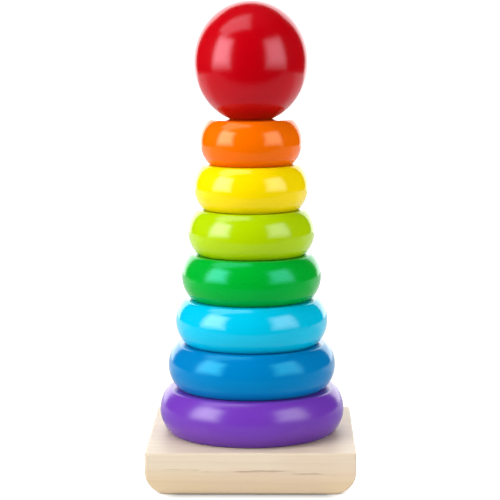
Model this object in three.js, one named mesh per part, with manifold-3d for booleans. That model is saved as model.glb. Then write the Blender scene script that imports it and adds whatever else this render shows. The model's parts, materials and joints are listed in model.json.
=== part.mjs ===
// Wooden ring stacker. A square base carries one glued-in post. Seven rings that get smaller
// towards the top are threaded on the post, and a ball with a blind bore drops over its tip.
// Millimetres, +Z up. The origin is the centre of the underside of the base.
import * as THREE from "three";
import { mergeVertices } from "three/addons/utils/BufferGeometryUtils.js";
import Module from "manifold-3d";

// Base board
const BASE_WIDTH = 118;
const BASE_DEPTH = 118;
const BASE_THICKNESS = 23.5;
const BASE_LOWER_EDGE_RADIUS = 12.5; // the two lower edges on the left and right sides
const BASE_UPPER_EDGE_RADIUS = 2;
const BASE_FACE_EDGE_RADIUS = 1.5; // every edge of the front and back faces

// Post: a dowel glued into a blind socket, so the underside of the base stays whole
const POST_RADIUS = 7.5;
const POST_TIP_RADIUS = 5;
const POST_FOOT_CHAMFER = 1;
const SOCKET_DEPTH = 18;
const GLUE_GAP = 0.3;
const POST_LENGTH_IN_BALL = 28;

// Rings, from the base upwards: flat faces above and below, a barrel-shaped rim
const RING_THICKNESS = 26;
const RING_BULGE_RADIUS = 18;
const RING_EDGE_RADIUS = 1;
const RING_BORE_RADIUS = 9;
const RINGS = [
  { name: "ring_purple", diameter: 107, colour: 0x7540b4 },
  { name: "ring_blue", diameter: 97, colour: 0x0683c8 },
  { name: "ring_light_blue", diameter: 88, colour: 0x08c3e8 },
  { name: "ring_green", diameter: 80.5, colour: 0x00ad3a },
  { name: "ring_lime", diameter: 73, colour: 0xb6dc18 },
  { name: "ring_yellow", diameter: 66, colour: 0xf8de0a },
  { name: "ring_orange", diameter: 59, colour: 0xf77800 },
];

// Ball: slightly taller than wide, with a flat ground on its underside around the bore
const BALL_WIDTH = 65.5;
const BALL_HEIGHT = 70; // before the flat is ground
const BALL_FLAT_DEPTH = 2.5;
const BALL_BORE_RADIUS = 8.5;
const BALL_BORE_DEPTH = 31;

const BORE_MOUTH_CHAMFER = 0.8;

// Resolution of the faceted surfaces
const SEGMENTS_AROUND = 40;
const BULGE_STEPS = 8;
const EDGE_STEPS = 2;
const TIP_STEPS = 4;
const BALL_STEPS = 14;
const BASE_CURVE_SEGMENTS = 3;
const BASE_BEVEL_SEGMENTS = 2;

// Colours of the bare wood and the ball, and the sheen of both finishes
const BASE_WOOD_COLOUR = 0xe8d2b4;
const POST_WOOD_COLOUR = 0xe2c9a4;
const BALL_COLOUR = 0xbe0010;
const BARE_WOOD_ROUGHNESS = 0.75;
const ENAMEL_ROUGHNESS = 0.2;

const QUARTER_TURN = Math.PI / 2;
const STACK_TOP = BASE_THICKNESS + RINGS.length * RING_THICKNESS;
const POST_FOOT_HEIGHT = BASE_THICKNESS - SOCKET_DEPTH + GLUE_GAP;

function material(colour, roughness) {
  return new THREE.MeshStandardMaterial({ color: colour, roughness, metalness: 0 });
}

function namedMesh(name, geometry, colour, roughness) {
  const mesh = new THREE.Mesh(geometry, material(colour, roughness));
  mesh.name = name;
  return mesh;
}

// Points along an arc in the (radius, height) plane, both ends included.
function arc(centre, radius, from, to, steps) {
  const points = [];
  for (let i = 0; i <= steps; i++) {
    const angle = from + ((to - from) * i) / steps;
    const r = centre.x + radius * Math.cos(angle);
    const z = centre.y + radius * Math.sin(angle);
    points.push(new THREE.Vector2(r, z));
  }
  return points;
}

// A profile in the (radius, height) plane, turned about the vertical axis.
function turned(profile) {
  return new THREE.LatheGeometry(profile, SEGMENTS_AROUND).rotateX(QUARTER_TURN);
}

// The rim is one arc that meets a small rounded edge at the top and the bottom face.
function ringGeometry(outerRadius) {
  const half = RING_THICKNESS / 2;
  const edgeHeight = half - RING_EDGE_RADIUS;
  const reach = Math.sqrt((RING_BULGE_RADIUS - RING_EDGE_RADIUS) ** 2 - edgeHeight ** 2);
  const turn = Math.atan2(edgeHeight, reach);
  const bulgeCentre = new THREE.Vector2(outerRadius - RING_BULGE_RADIUS, 0);
  const lowerEdge = new THREE.Vector2(bulgeCentre.x + reach, -edgeHeight);
  const upperEdge = new THREE.Vector2(bulgeCentre.x + reach, edgeHeight);
  const mouth = RING_BORE_RADIUS + BORE_MOUTH_CHAMFER;
  const profile = [
    new THREE.Vector2(mouth, -half),
    ...arc(lowerEdge, RING_EDGE_RADIUS, -QUARTER_TURN, -turn, EDGE_STEPS),
    ...arc(bulgeCentre, RING_BULGE_RADIUS, -turn, turn, BULGE_STEPS).slice(1, -1),
    ...arc(upperEdge, RING_EDGE_RADIUS, turn, QUARTER_TURN, EDGE_STEPS),
    new THREE.Vector2(mouth, half),
    new THREE.Vector2(RING_BORE_RADIUS, half - BORE_MOUTH_CHAMFER),
    new THREE.Vector2(RING_BORE_RADIUS, BORE_MOUTH_CHAMFER - half),
    new THREE.Vector2(mouth, -half),
  ];
  return turned(profile);
}

// The ball's height is measured from its flat, which is at zero.
function ballGeometry() {
  const halfWidth = BALL_WIDTH / 2;
  const halfHeight = BALL_HEIGHT / 2;
  const centreHeight = halfHeight - BALL_FLAT_DEPTH;
  const flatAngle = -Math.asin(centreHeight / halfHeight);
  const outside = arc(new THREE.Vector2(), 1, flatAngle, QUARTER_TURN, BALL_STEPS).map(
    (p) => new THREE.Vector2(p.x * halfWidth, centreHeight + p.y * halfHeight),
  );
  outside[0].y = 0;
  outside[BALL_STEPS].x = 0;
  const profile = [
    new THREE.Vector2(0, BALL_BORE_DEPTH),
    new THREE.Vector2(BALL_BORE_RADIUS, BALL_BORE_DEPTH),
    new THREE.Vector2(BALL_BORE_RADIUS, BORE_MOUTH_CHAMFER),
    new THREE.Vector2(BALL_BORE_RADIUS + BORE_MOUTH_CHAMFER, 0),
    ...outside,
  ];
  return turned(profile);
}

// The post's height is measured from its foot, which is at zero.
function postGeometry() {
  const length = STACK_TOP + POST_LENGTH_IN_BALL - POST_FOOT_HEIGHT;
  const tipCentre = new THREE.Vector2(POST_RADIUS - POST_TIP_RADIUS, length - POST_TIP_RADIUS);
  const profile = [
    new THREE.Vector2(0, 0),
    new THREE.Vector2(POST_RADIUS - POST_FOOT_CHAMFER, 0),
    new THREE.Vector2(POST_RADIUS, POST_FOOT_CHAMFER),
    ...arc(tipCentre, POST_TIP_RADIUS, 0, QUARTER_TURN, TIP_STEPS),
    new THREE.Vector2(0, length),
  ];
  return turned(profile);
}

// Outline of the base seen from the front: width across, thickness upwards.
function baseOutline() {
  const side = BASE_WIDTH / 2;
  const low = BASE_LOWER_EDGE_RADIUS;
  const top = BASE_UPPER_EDGE_RADIUS;
  const outline = new THREE.Shape();
  outline.moveTo(low - side, 0);
  outline.lineTo(side - low, 0);
  outline.absarc(side - low, low, low, -QUARTER_TURN, 0);
  outline.lineTo(side, BASE_THICKNESS - top);
  outline.absarc(side - top, BASE_THICKNESS - top, top, 0, QUARTER_TURN);
  outline.lineTo(top - side, BASE_THICKNESS);
  outline.absarc(top - side, BASE_THICKNESS - top, top, QUARTER_TURN, 2 * QUARTER_TURN);
  outline.lineTo(-side, low);
  outline.absarc(low - side, low, low, 2 * QUARTER_TURN, 3 * QUARTER_TURN);
  return outline;
}

function boardGeometry() {
  const board = new THREE.ExtrudeGeometry(baseOutline(), {
    depth: BASE_DEPTH - 2 * BASE_FACE_EDGE_RADIUS,
    curveSegments: BASE_CURVE_SEGMENTS,
    bevelThickness: BASE_FACE_EDGE_RADIUS,
    bevelSize: BASE_FACE_EDGE_RADIUS,
    bevelOffset: -BASE_FACE_EDGE_RADIUS,
    bevelSegments: BASE_BEVEL_SEGMENTS,
  });
  board.rotateX(QUARTER_TURN);
  return board.translate(0, BASE_DEPTH / 2 - BASE_FACE_EDGE_RADIUS, 0);
}

function socketGeometry() {
  const radius = POST_RADIUS + GLUE_GAP;
  const height = 2 * SOCKET_DEPTH;
  const socket = new THREE.CylinderGeometry(radius, radius, height, SEGMENTS_AROUND);
  return socket.rotateX(QUARTER_TURN).translate(0, 0, BASE_THICKNESS);
}

const manifold = await Module();
manifold.setup();

function solid(geometry) {
  const bare = geometry.clone();
  bare.deleteAttribute("normal");
  bare.deleteAttribute("uv");
  const merged = mergeVertices(bare, 1e-4);
  return new manifold.Manifold(
    new manifold.Mesh({
      numProp: 3,
      vertProperties: merged.attributes.position.array,
      triVerts: new Uint32Array(merged.index.array),
    }),
  );
}

function geometryOf(cutSolid) {
  const mesh = cutSolid.getMesh();
  const geometry = new THREE.BufferGeometry();
  geometry.setAttribute("position", new THREE.BufferAttribute(mesh.vertProperties, 3));
  geometry.setIndex(new THREE.BufferAttribute(mesh.triVerts, 1));
  geometry.computeVertexNormals();
  return geometry;
}

function baseBoard() {
  const drilled = solid(boardGeometry()).subtract(solid(socketGeometry()));
  return namedMesh("base_board", geometryOf(drilled), BASE_WOOD_COLOUR, BARE_WOOD_ROUGHNESS);
}

function post() {
  const mesh = namedMesh("post", postGeometry(), POST_WOOD_COLOUR, BARE_WOOD_ROUGHNESS);
  mesh.position.z = POST_FOOT_HEIGHT;
  return mesh;
}

function ring(entry, index) {
  const geometry = ringGeometry(entry.diameter / 2);
  const mesh = namedMesh(entry.name, geometry, entry.colour, ENAMEL_ROUGHNESS);
  mesh.position.z = BASE_THICKNESS + (index + 0.5) * RING_THICKNESS;
  return mesh;
}

function ball() {
  const mesh = namedMesh("ball", ballGeometry(), BALL_COLOUR, ENAMEL_ROUGHNESS);
  mesh.position.z = STACK_TOP;
  return mesh;
}

const fixedParts = new THREE.Group();
fixedParts.add(baseBoard(), post());

const looseParts = new THREE.Group();
looseParts.add(...RINGS.map(ring), ball());

const ringStacker = new THREE.Group();
ringStacker.add(fixedParts, looseParts);

export default ringStacker;
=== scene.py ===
# %% [markdown]
# # A wooden ring stacker
#
# The toy is a square board of bare wood with a dowel glued upright in its middle. Seven
# painted rings are threaded on the dowel, from the widest at the bottom to the narrowest at
# the top, and a painted ball with a blind hole drops over the tip.
#
# Every part was designed as a solid first, and the solids are loaded here as a fixed frame.
# The frame says where each part is, how big it is and how it moves. What this script adds is
# the fine surface: smooth turned curves, small rounded edges, paint and wood grain.

# %% Load the frame
import json
import math

import bmesh
import bpy
from mathutils import Matrix, Vector


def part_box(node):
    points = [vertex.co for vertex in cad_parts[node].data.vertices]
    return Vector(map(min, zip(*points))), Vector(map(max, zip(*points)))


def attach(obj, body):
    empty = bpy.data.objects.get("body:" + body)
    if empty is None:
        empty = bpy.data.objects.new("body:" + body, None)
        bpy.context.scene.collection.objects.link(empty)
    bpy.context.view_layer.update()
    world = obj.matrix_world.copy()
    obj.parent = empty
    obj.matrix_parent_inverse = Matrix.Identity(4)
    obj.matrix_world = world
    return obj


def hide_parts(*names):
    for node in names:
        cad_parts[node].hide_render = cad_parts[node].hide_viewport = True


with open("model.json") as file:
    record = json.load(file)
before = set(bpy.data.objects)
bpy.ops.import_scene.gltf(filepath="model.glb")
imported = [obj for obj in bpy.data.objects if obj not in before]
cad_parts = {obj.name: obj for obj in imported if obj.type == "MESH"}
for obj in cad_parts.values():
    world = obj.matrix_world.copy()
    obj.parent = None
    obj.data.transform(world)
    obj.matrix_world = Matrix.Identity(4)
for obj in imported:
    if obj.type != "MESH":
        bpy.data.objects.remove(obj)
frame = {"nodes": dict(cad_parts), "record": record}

MM = 0.001
UP = Vector((0, 0, 1))
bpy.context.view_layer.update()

# %% [markdown]
# ## Reading sizes from the frame
#
# Round parts need only three numbers: how far they reach from the post's axis, and where they
# start and end in height. The corners of a part's box give all three, so nothing is typed in
# twice. The rings are sorted by height, which is the order in which a child threads them.

# %% Sizes of the round parts
def reach_and_heights(node):
    """Outer radius, lowest height and highest height of a round part."""
    low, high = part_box(node)
    return (high.x - low.x) / 2, low.z, high.z


ring_nodes = [name for name in frame["nodes"] if name.startswith("ring_")]
ring_nodes.sort(key=lambda name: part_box(name)[0].z)
for name in ring_nodes:
    radius, low, high = reach_and_heights(name)
    print(f"{name}: {2 * radius / MM:.1f} mm across, {low / MM:.1f} to {high / MM:.1f} mm high")

# %% [markdown]
# ## Drawing with one moving point
#
# A turned part is a flat outline swept round an axis, as on a lathe. The outline could be a
# typed list of points, but it reads better as a pencil line: start somewhere, go straight to a
# point, swing round a centre, go straight again. Extruding one vertex draws the straight
# stretches, and spinning it draws the arcs. A second spin of the whole line makes the solid.

# %% The lathe
STEPS_ROUND = 144
SQUARE_CORNER = 60
MERGE_DISTANCE = 0.001 * MM


def straight(bm, vertex, x, z):
    """Draws a straight line from a vertex to the point x, z, and returns its new end."""
    made = bmesh.ops.extrude_vert_indiv(bm, verts=[vertex])["verts"][0]
    made.co = (x, 0, z)
    return made


def swing(bm, vertex, centre_x, centre_z, degrees, steps):
    """Swings a vertex round a centre, towards +Z where degrees is positive."""
    made = bmesh.ops.spin(
        bm,
        geom=[vertex],
        cent=(centre_x, 0, centre_z),
        axis=(0, -1, 0),
        angle=math.radians(degrees),
        steps=steps,
    )
    return next(item for item in made["geom_last"] if isinstance(item, bmesh.types.BMVert))


def sweep_round(bm, steps=STEPS_ROUND):
    """Sweeps the drawn line once round the post's axis, and closes the seam and the poles."""
    bmesh.ops.spin(
        bm,
        geom=bm.edges[:] + bm.verts[:],
        cent=(0, 0, 0),
        axis=UP,
        angle=2 * math.pi,
        steps=steps,
        use_merge=True,
    )
    bmesh.ops.remove_doubles(bm, verts=bm.verts, dist=MERGE_DISTANCE)
    bmesh.ops.recalc_face_normals(bm, faces=bm.faces)


def soften(bm, edges, offset, segments):
    """Rounds a set of edges. The offset is how much of each neighbouring face it takes."""
    bmesh.ops.bevel(
        bm,
        geom=edges,
        offset=offset,
        offset_type="OFFSET",
        segments=segments,
        profile=0.5,
        affect="EDGES",
        clamp_overlap=True,
        material=-1,
    )


def sharp_edges(bm, degrees, chosen):
    """Edges whose two faces turn by more than an angle, and that pass a test."""
    return [
        edge
        for edge in bm.edges
        if len(edge.link_faces) == 2
        and edge.calc_face_angle() > math.radians(degrees)
        and chosen(edge)
    ]


def radius_of(edge):
    """Distance of an edge's middle from the post's axis."""
    middle = (edge.verts[0].co + edge.verts[1].co) / 2
    return math.hypot(middle.x, middle.y)


def to_object(bm, name):
    """Turns a finished bmesh into a smooth-shaded object at the origin."""
    mesh = bpy.data.meshes.new(name)
    bm.to_mesh(mesh)
    bm.free()
    mesh.polygons.foreach_set("use_smooth", [True] * len(mesh.polygons))
    made = bpy.data.objects.new(name, mesh)
    bpy.context.scene.collection.objects.link(made)
    size = made.dimensions / MM
    print(f"{name}: {len(mesh.polygons)} faces, {size.x:.1f} x {size.y:.1f} x {size.z:.1f} mm")
    return made


# %% [markdown]
# ## The rings
#
# Each ring is cut from a board about an inch thick and turned, so both faces are dead flat and
# only the rim bulges. The rim is one arc. Where it meets a flat face the edge is just broken
# with sandpaper before painting, and that narrow rounding catches the light as a thin line.
# A bevel makes it. Its neighbours are given one extra line each, so that the flat faces stay
# flat in the shading and only the rounding is soft.

# %% Turn a ring
RING_BORE = 9 * MM
RIM_ARC_RADIUS = 18 * MM
RIM_EDGE_ROUNDING = 0.9 * MM
BORE_MOUTH_ROUNDING = 0.7 * MM
FLAT_SUPPORT = 1.6 * MM
RIM_STEPS = 28
RIM_CORNER = 25
EDGE_SEGMENTS = 4
MOUTH_SEGMENTS = 3


def turn_ring(name, outer, low, high):
    """A ring with flat faces, a bulging rim and a plain bore."""
    half = (high - low) / 2
    middle = (high + low) / 2
    arc_centre = outer - RIM_ARC_RADIUS
    arc_degrees = math.degrees(math.asin(half / RIM_ARC_RADIUS))
    corner = arc_centre + math.sqrt(RIM_ARC_RADIUS**2 - half**2)
    bm = bmesh.new()
    start = bm.verts.new((corner, 0, low))
    end = swing(bm, start, arc_centre, middle, 2 * arc_degrees, RIM_STEPS)
    for x, z in (
        (corner - FLAT_SUPPORT, high),
        (RING_BORE + FLAT_SUPPORT, high),
        (RING_BORE, high),
        (RING_BORE, high - FLAT_SUPPORT),
        (RING_BORE, low + FLAT_SUPPORT),
        (RING_BORE, low),
        (RING_BORE + FLAT_SUPPORT, low),
        (corner - FLAT_SUPPORT, low),
    ):
        end = straight(bm, end, x, z)
    bm.edges.new((end, start))
    sweep_round(bm)
    rim = sharp_edges(bm, RIM_CORNER, lambda edge: radius_of(edge) > 2 * RING_BORE)
    soften(bm, rim, RIM_EDGE_ROUNDING, EDGE_SEGMENTS)
    mouths = sharp_edges(bm, SQUARE_CORNER, lambda edge: radius_of(edge) < 2 * RING_BORE)
    soften(bm, mouths, BORE_MOUTH_ROUNDING, MOUTH_SEGMENTS)
    return to_object(bm, name)


rings = {}
for node in ring_nodes:
    rings[node] = turn_ring("painted_" + node, *reach_and_heights(node))

# %% [markdown]
# ## The ball
#
# The ball is turned too, a little taller than it is wide. A flat is ground on its underside so
# that it sits still on the top ring, and a blind hole goes up from the flat. A sphere primitive
# could be squashed, but its hole and flat would need cutting. Drawing the outline gives all
# three at once: a circular swing, stretched in height, then the flat and the hole.

# %% Turn the ball
BALL_BORE = 8.5 * MM
BALL_BORE_DEPTH = 31 * MM
BALL_FLAT_DEPTH = 2.5 * MM
BALL_EDGE_ROUNDING = 0.5 * MM
BALL_EDGE_CORNER = 15
BALL_STEPS = 72


def turn_ball(name, outer, low, high):
    """A ball with a ground flat and a blind bore in its underside."""
    half_height = (high - low + BALL_FLAT_DEPTH) / 2
    centre = high - half_height
    flat_degrees = math.degrees(math.asin((half_height - BALL_FLAT_DEPTH) / half_height))
    bm = bmesh.new()
    pole = bm.verts.new((0, 0, centre + outer))
    end = swing(bm, pole, 0, centre, -(90 + flat_degrees), BALL_STEPS)
    stretch = Vector((1, 1, half_height / outer))
    about_centre = Matrix.Translation((0, 0, -centre))
    bmesh.ops.scale(bm, vec=stretch, space=about_centre, verts=bm.verts)
    for x, z in (
        (BALL_BORE, low),
        (BALL_BORE, low + FLAT_SUPPORT),
        (BALL_BORE, low + BALL_BORE_DEPTH),
        (0, low + BALL_BORE_DEPTH),
    ):
        end = straight(bm, end, x, z)
    sweep_round(bm)
    on_flat = low + FLAT_SUPPORT / 2
    flat = sharp_edges(bm, BALL_EDGE_CORNER, lambda edge: edge.verts[0].co.z < on_flat)
    soften(bm, flat, BALL_EDGE_ROUNDING, MOUTH_SEGMENTS)
    return to_object(bm, name)


ball = turn_ball("painted_ball", *reach_and_heights("ball"))

# %% [markdown]
# ## The post
#
# The post is a length of dowel. Its foot is chamfered so that it starts easily in the glued
# socket, and its tip is rounded so that a ring finds it. Straight stretches get a line near
# each end, for the same reason as on the rings.

# %% Turn the post
TIP_RADIUS = 5 * MM
FOOT_CHAMFER = 1 * MM
TIP_STEPS = 12


def turn_post(name, outer, low, high):
    """A dowel with a chamfered foot and a rounded tip."""
    bm = bmesh.new()
    end = bm.verts.new((0, 0, low))
    for x, z in (
        (outer - FOOT_CHAMFER, low),
        (outer, low + FOOT_CHAMFER),
        (outer, low + 2 * FOOT_CHAMFER),
        (outer, high - TIP_RADIUS - FLAT_SUPPORT),
        (outer, high - TIP_RADIUS),
    ):
        end = straight(bm, end, x, z)
    end = swing(bm, end, outer - TIP_RADIUS, high - TIP_RADIUS, 90, TIP_STEPS)
    straight(bm, end, 0, high)
    sweep_round(bm, STEPS_ROUND // 2)
    return to_object(bm, name)


post = turn_post("wooden_post", *reach_and_heights("post"))

# %% [markdown]
# ## The base board
#
# The board is a square of bare wood with a round socket in its top. Its two lower edges on the
# left and right are rounded over generously, as on a rocker, while every other edge is only
# broken. The top starts as two outlines, a circle and a square, each with the same number of
# points, and a bridge fills the space between them. Extruding the circle down gives the
# socket, and extruding the square down gives the sides. The upright lines that this leaves on
# the sides are dissolved, because they would stop the wide rounding of the lower edges. Last,
# each flat face gets a narrow frame, which keeps it flat in the shading up to its rounded edge.

# %% Make the board
SOCKET_RADIUS = 7.8 * MM
SOCKET_DEPTH = 18 * MM
LOWER_EDGE_RADIUS = 12.5 * MM
BROKEN_EDGE = 1 * MM
FLAT_INSET = 0.5 * MM
POINTS_PER_SIDE = 16
LOWER_EDGE_STEPS = 14


def fill_below(bm, edges, depth):
    """Extrudes an outline straight down and closes it with one face."""
    made = bmesh.ops.extrude_edge_only(bm, edges=edges)["geom"]
    verts = [item for item in made if isinstance(item, bmesh.types.BMVert)]
    rim = [
        item
        for item in made
        if isinstance(item, bmesh.types.BMEdge) and all(v in verts for v in item.verts)
    ]
    bmesh.ops.translate(bm, vec=-depth * UP, verts=verts)
    bmesh.ops.contextual_create(bm, geom=rim)


def make_board(name, low, high):
    """A square board with a blind socket, two rolled lower edges and softly broken edges."""
    side = (high.x - low.x) / 2
    top = Matrix.Translation((0, 0, high.z))
    eighth_turn = Matrix.Rotation(math.radians(45), 4, "Z")
    bm = bmesh.new()
    bmesh.ops.create_circle(
        bm, segments=4 * POINTS_PER_SIDE, radius=SOCKET_RADIUS, matrix=top @ eighth_turn
    )
    mouth = bm.edges[:]
    bmesh.ops.create_circle(
        bm, segments=4, radius=math.sqrt(2) * side, matrix=top @ eighth_turn
    )
    square = [edge for edge in bm.edges if edge not in mouth]
    bmesh.ops.subdivide_edges(bm, edges=square, cuts=POINTS_PER_SIDE - 1)
    square = [edge for edge in bm.edges if edge not in mouth]
    bmesh.ops.bridge_loops(bm, edges=mouth + square)
    fill_below(bm, mouth, SOCKET_DEPTH)
    fill_below(bm, square, high.z - low.z)
    bmesh.ops.remove_doubles(bm, verts=bm.verts, dist=MERGE_DISTANCE)
    bmesh.ops.recalc_face_normals(bm, faces=bm.faces)

    def is_panel_line(edge):
        upright = all(abs(face.normal.z) < 0.5 for face in edge.link_faces)
        return upright and edge.calc_face_angle() < math.radians(0.5)

    panel_lines = [edge for edge in bm.edges if is_panel_line(edge)]
    bmesh.ops.dissolve_edges(bm, edges=panel_lines, use_verts=True)

    def is_lower_side(edge):
        first, last = (v.co for v in edge.verts)
        return max(first.z, last.z) < low.z + MM and abs(first.x - last.x) < MM

    rolled = sharp_edges(bm, SQUARE_CORNER, is_lower_side)
    soften(bm, rolled, LOWER_EDGE_RADIUS, LOWER_EDGE_STEPS)
    broken = sharp_edges(bm, SQUARE_CORNER, lambda edge: radius_of(edge) > 2 * SOCKET_RADIUS)
    soften(bm, broken, BROKEN_EDGE, EDGE_SEGMENTS)
    for axis in (Vector((1, 0, 0)), Vector((0, 1, 0)), UP):
        for way in (axis, -axis):
            flat = [face for face in bm.faces if face.normal.dot(way) > 0.9999]
            large = [face for face in flat if face.calc_area() > MM**2]
            bmesh.ops.inset_region(bm, faces=large, thickness=FLAT_INSET, use_even_offset=True)
    return to_object(bm, name)


board = make_board("wooden_board", *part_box("base_board"))

# %% [markdown]
# ## Shader sums in Python
#
# A material is a web of nodes. Written out node by node, even a simple sum takes a dozen lines,
# so a small class wraps an output socket and lets Python's own signs add the Math nodes. The
# reflected forms are there so that 1 - mask works as well as mask - 1. Everything else goes
# through one method, which makes a node, sets its options and fills its sockets.

# %% Wires and finishes
MIX_FACTOR, MIX_A, MIX_B, MIX_COLOUR = 0, 6, 7, 2


class Wire:
    """A node's output that can be used in sums."""

    def __init__(self, finish, socket):
        self.finish = finish
        self.socket = socket

    def _maths(self, operation, *values):
        made = self.finish.node("Math", {"operation": operation}, dict(enumerate(values)))
        return Wire(self.finish, made.outputs[0])

    def __add__(self, other):
        return self._maths("ADD", self, other)

    __radd__ = __add__

    def __sub__(self, other):
        return self._maths("SUBTRACT", self, other)

    def __rsub__(self, other):
        return self._maths("SUBTRACT", other, self)

    def __mul__(self, other):
        return self._maths("MULTIPLY", self, other)

    __rmul__ = __mul__

    def __truediv__(self, other):
        return self._maths("DIVIDE", self, other)

    def __pow__(self, other):
        return self._maths("POWER", self, other)

    def fraction(self):
        return self._maths("FRACT", self)

    def size(self):
        return self._maths("ABSOLUTE", self)

    def larger(self, other):
        return self._maths("MAXIMUM", self, other)

    def smooth(self, low, high):
        """0 below low, 1 above high and a soft step in between."""
        settings = {"interpolation_type": "SMOOTHSTEP"}
        inputs = {"Value": self, "From Min": low, "From Max": high}
        return Wire(self.finish, self.finish.node("MapRange", settings, inputs).outputs[0])


class Finish:
    """One material, and short ways to add nodes to it."""

    def __init__(self, name):
        self.material = bpy.data.materials.new(name)
        self.material.use_nodes = True
        self.tree = self.material.node_tree
        self.tree.nodes.clear()
        self.place = Wire(self, self.node("TexCoord").outputs["Object"])

    def node(self, kind, settings=None, inputs=None):
        """Makes a node, sets its options and then its sockets, by value or by link."""
        made = self.tree.nodes.new("ShaderNode" + kind)
        for key, value in (settings or {}).items():
            setattr(made, key, value)
        for key, value in (inputs or {}).items():
            if isinstance(value, Wire):
                self.tree.links.new(value.socket, made.inputs[key])
            else:
                made.inputs[key].default_value = value
        return made

    def axes(self):
        """The three coordinates of the place, in metres."""
        made = self.node("SeparateXYZ", inputs={0: self.place})
        return [Wire(self, output) for output in made.outputs]

    def stretched(self, x, y, z):
        """The place with each coordinate multiplied, which draws a pattern out."""
        made = self.node("Mapping", inputs={"Vector": self.place, "Scale": (x, y, z)})
        return Wire(self, made.outputs[0])

    def noise(self, place, scale=1, detail=2, roughness=0.5):
        """Soft noise from 0 to 1."""
        inputs = {"Vector": place, "Scale": scale, "Detail": detail, "Roughness": roughness}
        return Wire(self, self.node("TexNoise", inputs=inputs).outputs[0])

    def mix(self, factor, first, second):
        """A colour between two colours."""
        inputs = {MIX_FACTOR: factor, MIX_A: first, MIX_B: second}
        return Wire(self, self.node("Mix", {"data_type": "RGBA"}, inputs).outputs[MIX_COLOUR])

    def bump(self, height, distance, strength):
        """A normal that follows a height map."""
        inputs = {"Height": height, "Distance": distance, "Strength": strength}
        return Wire(self, self.node("Bump", inputs=inputs).outputs[0])

    def shader(self, kind, inputs):
        """A shader node's output."""
        return Wire(self, self.node(kind, inputs=inputs).outputs[0])

    def ended(self, shader):
        """Links a shader to the material's output."""
        self.node("OutputMaterial", inputs={0: shader})
        return self.material

    def looked_at(self, shader):
        """Ends the material in light that is seen, but is never searched for as a lamp."""
        self.material.cycles.emission_sampling = "NONE"
        return self.ended(shader)

    def surface(self, **sockets):
        """Ends the material in a Principled shader with these sockets."""
        inputs = {key.replace("_", " "): value for key, value in sockets.items()}
        return self.ended(self.shader("BsdfPrincipled", inputs))


def linear(red, green, blue):
    """A screen colour, 0 to 255 in each part, as the linear colour that shaders use."""
    colour = []
    for part in (red / 255, green / 255, blue / 255):
        dark = part < 0.04045
        colour.append(part / 12.92 if dark else ((part + 0.055) / 1.055) ** 2.4)
    return (*colour, 1)


def shaded(colour, factor):
    """A colour made lighter or darker."""
    red, green, blue, alpha = colour
    return (min(red * factor, 1), min(green * factor, 1), min(blue * factor, 1), alpha)


# %% [markdown]
# ## Bare wood
#
# The board is pale, fine-grained hardwood, sanded and left bare. Its years show as faint lines
# along the board and as arcs on its two ends, and its lower half is a warmer colour, with a row
# of small brown flecks where the two meet. A printed sheet would need wrapping round the
# corners, but real grain goes right through, so it is written as a solid pattern: the distance
# from a far-off pith gives the years on every face at once. Fibres and flecks are noise drawn
# out along the grain, so that they turn to dots on the ends by themselves.

# %% Wood finish
PITH = (0.045, -0.11)
YEAR_WIDTH = 4.3 * MM
WARM_HEIGHT = 13.6 * MM
WARM_STEP = (WARM_HEIGHT - 8 * MM, WARM_HEIGHT + 4 * MM)
FLECK_BAND = 1.6 * MM
PALE_WOOD = linear(204, 189, 167)
WARM_WOOD = linear(198, 176, 143)
PINK_WOOD = linear(195, 170, 149)
LATE_WOOD = linear(172, 145, 118)
FLECK_BROWN = linear(112, 80, 56)
DOWEL_WOOD = linear(194, 176, 150)
DOWEL_LATE_WOOD = linear(178, 150, 118)
DOWEL_FIBRE = linear(168, 140, 108)
DOWEL_FLECK = linear(118, 86, 60)
SANDED = 0.38
GRAIN_HEIGHT = 0.05 * MM


def year_lines(finish, across, upwards, waver):
    """Late wood, 0 to 1, from the distance to the pith, disturbed by a wavering noise."""
    distance = ((across - PITH[0]) ** 2.0 + (upwards - PITH[1]) ** 2.0) ** 0.5
    return (distance / YEAR_WIDTH + waver).fraction() ** 4.0


def sanded(finish, colour, fibre, fleck):
    """Ends a bare wood: its fibres stand up a little and its flecks lie a little lower."""
    return finish.surface(
        Base_Color=colour,
        Roughness=SANDED + 0.2 * fibre,
        Normal=finish.bump(fibre - fleck, GRAIN_HEIGHT, 0.6),
    )


def board_wood(name):
    """Bare wood with its grain along X and a warmer lower half."""
    finish = Finish(name)
    _, y, z = finish.axes()
    waver = finish.noise(finish.stretched(5, 16, 16))
    late = year_lines(finish, y, z, waver * 1.1)
    blotch = finish.noise(finish.stretched(14, 60, 60), detail=3)
    fibre = finish.noise(finish.stretched(16, 700, 700), detail=4, roughness=0.6)
    depth = z + (waver - 0.5) * (6 * MM) + (blotch - 0.5) * (4 * MM)
    colour = finish.mix(1 - depth.smooth(*WARM_STEP), PALE_WOOD, WARM_WOOD)
    colour = finish.mix(blotch.smooth(0.5, 0.7) * 0.4, colour, PINK_WOOD)
    colour = finish.mix(late * 0.2 + (fibre - 0.4) * 0.3, colour, LATE_WOOD)
    dash = finish.noise(finish.stretched(45, 700, 700))
    nearness = 1 - ((depth - WARM_HEIGHT).size() / FLECK_BAND).smooth(0.2, 1)
    fleck = dash.smooth(0.52, 0.66) * nearness * 0.45 + dash.smooth(0.68, 0.78) * 0.15
    return sanded(finish, finish.mix(fleck, colour, FLECK_BROWN), fibre, fleck)


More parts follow.
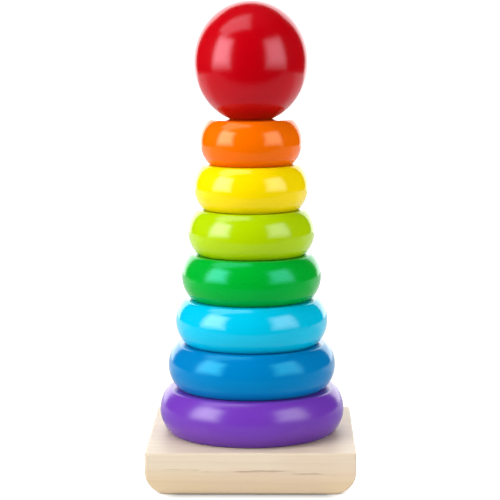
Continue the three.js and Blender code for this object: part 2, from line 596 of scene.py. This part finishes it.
def dowel_wood(name):
    """Bare wood with its grain along Z."""
    finish = Finish(name)
    x, y, _ = finish.axes()
    waver = finish.noise(finish.stretched(16, 16, 5))
    late = year_lines(finish, x, y, waver * 1.1)
    fibre = finish.noise(finish.stretched(700, 700, 16), detail=4, roughness=0.6)
    dash = finish.noise(finish.stretched(900, 900, 75))
    fleck = dash.smooth(0.62, 0.74) * 0.4
    colour = finish.mix(late * 0.5, DOWEL_WOOD, DOWEL_LATE_WOOD)
    colour = finish.mix((fibre - 0.4) * 0.5, colour, DOWEL_FIBRE)
    return sanded(finish, finish.mix(fleck, colour, DOWEL_FLECK), fibre, fleck)


board.data.materials.append(board_wood("bare_board_wood"))
post.data.materials.append(dowel_wood("bare_dowel_wood"))

# %% [markdown]
# ## Gloss enamel
#
# The rings and the ball are sprayed with gloss enamel. Such paint is nearly flat in colour, so
# its life comes from small things: it pools very slightly, its skin ripples like an orange's,
# and the grain of the wood below can just be felt through it. In the hole there is hardly any
# paint, so bare wood shows there. A mask from the distance to the axis tells the two apart, and
# on the ball it ends at the roof of the hole. Most of these paints are purer than any screen
# colour, which makes the highlights on them look tinted. The specular tint does that.
#
# Each paint below is its colour, the tint of its highlights and its roughness.

# %% Enamel finish
PAINT_EDGE = (0.35 * MM, 0.75 * MM)
PAINT_RAGGEDNESS = 0.8 * MM
ROOF_EDGE = (0.5 * MM, 1 * MM)
RIPPLE_HEIGHT = 0.05 * MM
BORE_WOOD = linear(222, 196, 160)
BORE_GRAIN = linear(196, 164, 124)


def enamel(name, colour, tint, bore, roof, roughness):
    """Gloss paint over wood with its grain along X, fading to bare wood inside the bore."""
    finish = Finish(name)
    x, y, z = finish.axes()
    pooling = finish.noise(finish.place, 45, detail=1)
    grain = finish.noise(finish.stretched(12, 420, 420), detail=3)
    ripple = finish.noise(finish.place, 260)
    coat = finish.mix(pooling, shaded(colour, 0.95), shaded(colour, 1.04))
    coat = finish.mix(grain.smooth(0.55, 0.75) * 0.25, coat, shaded(colour, 0.9))
    radius = (x**2.0 + y**2.0) ** 0.5
    ragged = finish.noise(finish.place, 700) * PAINT_RAGGEDNESS
    painted = (radius + ragged).smooth(bore + PAINT_EDGE[0], bore + PAINT_EDGE[1])
    bare = (1 - painted) * (1 - z.smooth(roof + ROOF_EDGE[0], roof + ROOF_EDGE[1]))
    wood = finish.mix(grain, BORE_WOOD, BORE_GRAIN)
    return finish.surface(
        Base_Color=finish.mix(bare, coat, wood),
        Roughness=roughness - 0.03 + 0.06 * pooling + bare * 0.4,
        Normal=finish.bump(ripple + grain * 0.2, RIPPLE_HEIGHT, 0.5),
        Specular_Tint=tint,
    )


PAINTS = {
    "ring_purple": (linear(99, 48, 161), (0.88, 0.86, 0.84, 1), 0.22),
    "ring_blue": (linear(0, 112, 172), (0.09, 0.88, 0.94, 1), 0.15),
    "ring_light_blue": (linear(0, 174, 207), (0.7, 0.82, 0.95, 1), 0.11),
    "ring_green": (linear(0, 156, 39), (0.14, 0.87, 1, 1), 0.17),
    "ring_lime": (linear(161, 192, 0), (0.8, 0.86, 0.8, 1), 0.13),
    "ring_yellow": (linear(231, 203, 0), (1, 0.9, 0.7, 1), 0.1),
    "ring_orange": (linear(229, 101, 0), (1, 0.8, 0.46, 1), 0.11),
    "ball": (linear(175, 0, 12), (1, 0.6, 0.72, 1), 0.17),
}
for node, ring in rings.items():
    paint, tint, roughness = PAINTS[node]
    name = "enamel_" + node.removeprefix("ring_")
    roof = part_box(node)[1].z
    ring.data.materials.append(enamel(name, paint, tint, RING_BORE, roof, roughness))
paint, tint, roughness = PAINTS["ball"]
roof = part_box("ball")[0].z + BALL_BORE_DEPTH
ball.data.materials.append(enamel("enamel_red", paint, tint, BALL_BORE, roof, roughness))

# %% [markdown]
# ## Handing the pieces to the frame
#
# Each new piece takes the place of its plain solid, and rides on the same body, so that it
# moves when a ring is lifted.

# %% Ride and replace
bodies = {}
for body, members in frame["record"]["behaviour"]["bodies"].items():
    for node in members:
        bodies[node] = body
for node, piece in {**rings, "ball": ball, "post": post, "base_board": board}.items():
    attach(piece, bodies[node])
    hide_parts(node)
print(len(bodies), "solids replaced")

# %% [markdown]
# ## The studio
#
# The toy stands on a white table top in a dark room, between two tall soft boxes, with a third
# one overhead and a lit white sheet behind. Gloss paint shows what is around it: the two boxes
# are the bright windows on every ring, the sheet behind makes the pale rims, the table lightens
# the lower half of the ball, and the dark side of the room keeps the colours deep.
#
# The table is three sheets in one place. The first takes the shadows and is seen, and a painted
# contact shadow darkens it along the foot of the board. The second is only seen in reflections.
# It is dim in front, because a camera set for the paint lets the white of the table burn out,
# and bright behind, where the lit sheet shines on it, which continues the pale rims down the
# lower half of each ring. Its light fades at its front edge, so that the paint shows no hard
# line there. The third is a wide ground, and with the dome only the camera sees it, so the
# background stays white all round.

# %% Table and dome
TABLE_FRONT = -0.31
TABLE_REACH = 1.0
GROUND_REACH = 10.0
FOOTPRINT = (40 * MM, 58 * MM)
CONTACT_SHADE = 14 * MM
BURNT_OUT = (8 * MM, 18 * MM)
WHITE = 1.25
PAPER = 0.85
SHEET_GAP = 0.1 * MM
MIRRORED_FRONT = 0.46
MIRRORED_BACK = 0.9
BEHIND = (80 * MM, 250 * MM)
FRONT_FADE = (-390 * MM, -230 * MM)


def flat_sheet(name, x_low, x_high, y_low, y_high, z):
    """A level rectangle."""
    bm = bmesh.new()
    bmesh.ops.create_grid(bm, x_segments=1, y_segments=1, size=0.5)
    bmesh.ops.scale(bm, vec=(x_high - x_low, y_high - y_low, 1), verts=bm.verts)
    middle = ((x_low + x_high) / 2, (y_low + y_high) / 2, z)
    bmesh.ops.translate(bm, vec=middle, verts=bm.verts)
    return to_object(bm, name)


def glow(name, strength):
    """White light all over, which is only looked at and lights nothing."""
    finish = Finish(name)
    return finish.looked_at(finish.shader("Emission", {"Strength": strength}))


def table_paper(name, strength):
    """White paper with a painted contact shadow along the foot of the board, which turns to
    light a little further out.
    """
    finish = Finish(name)
    x, y, _ = finish.axes()
    aside = (x.size() - FOOTPRINT[0]).larger(0)
    ahead = (y.size() - FOOTPRINT[1]).larger(0)
    distance = (aside**2.0 + ahead**2.0) ** 0.5
    # Painted contact shadow: near the board's foot the paper is mixed towards zero albedo,
    # fading out over about CONTACT_SHADE; real shadows fall on it as well.
    painted_shadow_fade = distance.smooth(-CONTACT_SHADE / 2, CONTACT_SHADE)
    painted_shadow_black = finish.shader("BsdfDiffuse", {"Color": (0, 0, 0, 1)})
    white = finish.shader("BsdfDiffuse", {"Color": (PAPER, PAPER, PAPER, 1)})
    paper = finish.shader("MixShader", {0: painted_shadow_fade, 1: painted_shadow_black, 2: white})
    light = finish.shader("Emission", {"Strength": strength})
    share = distance.smooth(*BURNT_OUT)
    return finish.ended(finish.shader("MixShader", {0: share, 1: paper, 2: light}))


def table_reflection(name):
    """Light that fades out at the front edge, and is brighter behind the toy."""
    finish = Finish(name)
    _, y, _ = finish.axes()
    dim = finish.shader("Emission", {"Strength": MIRRORED_FRONT})
    bright = finish.shader("Emission", {"Strength": MIRRORED_BACK})
    lit = finish.shader("MixShader", {0: y.smooth(*BEHIND), 1: dim, 2: bright})
    dark = finish.shader("Emission", {"Strength": 0.0})
    fading = {0: y.smooth(*FRONT_FADE), 1: dark, 2: lit}
    return finish.looked_at(finish.shader("MixShader", fading))


def seen_by(thing, camera, diffuse, glossy, shadow):
    """Says which kinds of ray meet a thing."""
    thing.visible_camera = camera
    thing.visible_diffuse = diffuse
    thing.visible_glossy = glossy
    thing.visible_shadow = shadow
    thing.visible_transmission = False


reach = (-TABLE_REACH, TABLE_REACH, TABLE_FRONT, TABLE_REACH)
table = flat_sheet("white_table", *reach, 0)
table.data.materials.append(table_paper("table_white_with_painted_shadow", WHITE))
seen_by(table, camera=True, diffuse=True, glossy=False, shadow=True)
reach = (-TABLE_REACH, TABLE_REACH, FRONT_FADE[0], TABLE_REACH)
mirrored = flat_sheet("mirrored_table", *reach, -SHEET_GAP)
mirrored.data.materials.append(table_reflection("mirrored_white"))
seen_by(mirrored, camera=False, diffuse=False, glossy=True, shadow=False)
reach = (-GROUND_REACH, GROUND_REACH, -GROUND_REACH, GROUND_REACH)
ground = flat_sheet("white_ground", *reach, -2 * SHEET_GAP)
ground.data.materials.append(glow("ground_white", WHITE))
seen_by(ground, camera=True, diffuse=False, glossy=False, shadow=False)
bm = bmesh.new()
bmesh.ops.create_uvsphere(bm, u_segments=48, v_segments=24, radius=GROUND_REACH)
dome = to_object(bm, "white_dome")
dome.data.materials.append(glow("dome_white", WHITE))
seen_by(dome, camera=True, diffuse=False, glossy=False, shadow=False)

# %% [markdown]
# ## Soft boxes
#
# A soft box is a lit rectangle of cloth. What shows in the paint is its radiance, so each box is
# given that and its size, and its power is worked out. The left box is the key light, the right
# one fills, and the one overhead lies above and to the left. The ceiling and the two side fills
# only soften the shadows, as pale walls would, so they are kept out of the reflections.
#
# The cloth is brightest in its middle and fades towards its frame. One even rectangle would give
# windows with hard edges, so each box is a stack of four panels, less than a finger's width
# apart. Each panel is larger than the one before it and has a quarter of the radiance.
#
# Each side box below is its azimuth, its width and its radiance.

# %% Lights
PANEL_GROWTH = (-1, -0.33, 0.33, 1)
PANEL_GAP = 10 * MM


def panel(name, place, aim, size, radiance):
    """A rectangular light at a place, turned to face a point."""
    light = bpy.data.lights.new(name, "AREA")
    light.shape = "RECTANGLE"
    light.size, light.size_y = size
    light.energy = radiance * math.pi * size[0] * size[1]
    lamp = bpy.data.objects.new(name, light)
    lamp.location = place
    lamp.rotation_euler = (Vector(aim) - Vector(place)).to_track_quat("-Z", "Y").to_euler()
    lamp.visible_camera = False
    bpy.context.scene.collection.objects.link(lamp)
    print(f"{name}: {light.energy:.1f} W")
    return lamp


def soft_box(name, place, aim, size, fade, radiance):
    """A stack of growing panels, so that the light fades over a distance at its edges."""
    place = Vector(place)
    aim = Vector(aim)
    backwards = (place - aim).normalized()
    for number, growth in enumerate(PANEL_GROWTH):
        grown = [side + growth * distance for side, distance in zip(size, fade)]
        spot = place + number * PANEL_GAP * backwards
        panel(f"{name}_{number + 1}", spot, aim, grown, radiance / len(PANEL_GROWTH))


def round_the_toy(azimuth, distance, height):
    """A place round the toy. Azimuth 0 is in front and 90 is on its right."""
    turn = math.radians(azimuth)
    return (math.sin(turn) * distance, -math.cos(turn) * distance, height)


BOX_DISTANCE = 1.2
BOX_HEIGHT = 0.64
BOX_TALL = 1.02
BOX_FADE = (0.24, 0.28)
SIDE_BOXES = {"left_box": (-60.5, 0.78, 8.75), "right_box": (53, 0.86, 5.0)}
for name, (azimuth, width, radiance) in SIDE_BOXES.items():
    place = round_the_toy(azimuth, BOX_DISTANCE, BOX_HEIGHT)
    soft_box(name, place, (0, 0, BOX_HEIGHT), (width, BOX_TALL), BOX_FADE, radiance)

TOP_BOX_PLACE = (-0.78, -0.3, 1.55)
TOP_BOX_AIM = (-0.78, -0.3, 0)
TOP_BOX_SIZE = (1.5, 0.82)
TOP_BOX_FADE = (0.17, 0.17)
soft_box("top_box", TOP_BOX_PLACE, TOP_BOX_AIM, TOP_BOX_SIZE, TOP_BOX_FADE, 2.8)

SHEET_DISTANCE = 1.4
SHEET_HEIGHT = 0.7
SHEET_SIZE = (2.35, 1.6)
sheet_place = round_the_toy(180, SHEET_DISTANCE, SHEET_HEIGHT)
panel("back_sheet", sheet_place, (0, 0, SHEET_HEIGHT), SHEET_SIZE, 2.4)

CEILING_PLACE = (0, 0.3, 2.3)
CEILING_SIZE = (2.5, 2.5)
FILL_HEIGHT = 0.5
FILL_SIZE = (0.8, 0.8)
FILL_AIM = (0, 0, 0.1)
left_place = round_the_toy(-100, BOX_DISTANCE, FILL_HEIGHT)
right_place = round_the_toy(95, BOX_DISTANCE, FILL_HEIGHT)
fills = (
    panel("ceiling", CEILING_PLACE, (0, 0, 0), CEILING_SIZE, 1.1),
    panel("left_fill", left_place, FILL_AIM, FILL_SIZE, 1.1),
    panel("right_fill", right_place, FILL_AIM, FILL_SIZE, 0.7),
)
for lamp in fills:
    lamp.visible_glossy = False

ROOM_GREY = 0.01
world = bpy.data.worlds.new("dark_room")
world.use_nodes = True
background = world.node_tree.nodes["Background"]
background.inputs["Color"].default_value = (ROOM_GREY, ROOM_GREY, ROOM_GREY, 1)
bpy.context.scene.world = world

# %% [markdown]
# ## The camera
#
# A long lens from a little over a metre away, slightly above the toy and tilted down at it, so
# that the flat top of each ring just shows. The colours go straight to the screen.

# %% Camera
CAMERA_DISTANCE = 1.1087
CAMERA_HEIGHT = 0.2872
CAMERA_TILT = 8.1
CAMERA_AZIMUTH = 1.0
CAMERA_ROLL = 0.2
CAMERA_SIDESTEP = -0.0003
LENS = 139.3
SENSOR = 36

turn = math.radians(CAMERA_AZIMUTH)
eye = bpy.data.cameras.new("eye")
eye.lens = LENS
eye.sensor_width = SENSOR
camera = bpy.data.objects.new("eye", eye)
camera.location = (
    math.sin(turn) * CAMERA_DISTANCE + math.cos(turn) * CAMERA_SIDESTEP,
    -math.cos(turn) * CAMERA_DISTANCE + math.sin(turn) * CAMERA_SIDESTEP,
    CAMERA_HEIGHT,
)
camera.rotation_euler = (math.radians(90 - CAMERA_TILT), math.radians(CAMERA_ROLL), turn)
bpy.context.scene.collection.objects.link(camera)
bpy.context.scene.camera = camera
bpy.context.scene.view_settings.view_transform = "Standard"
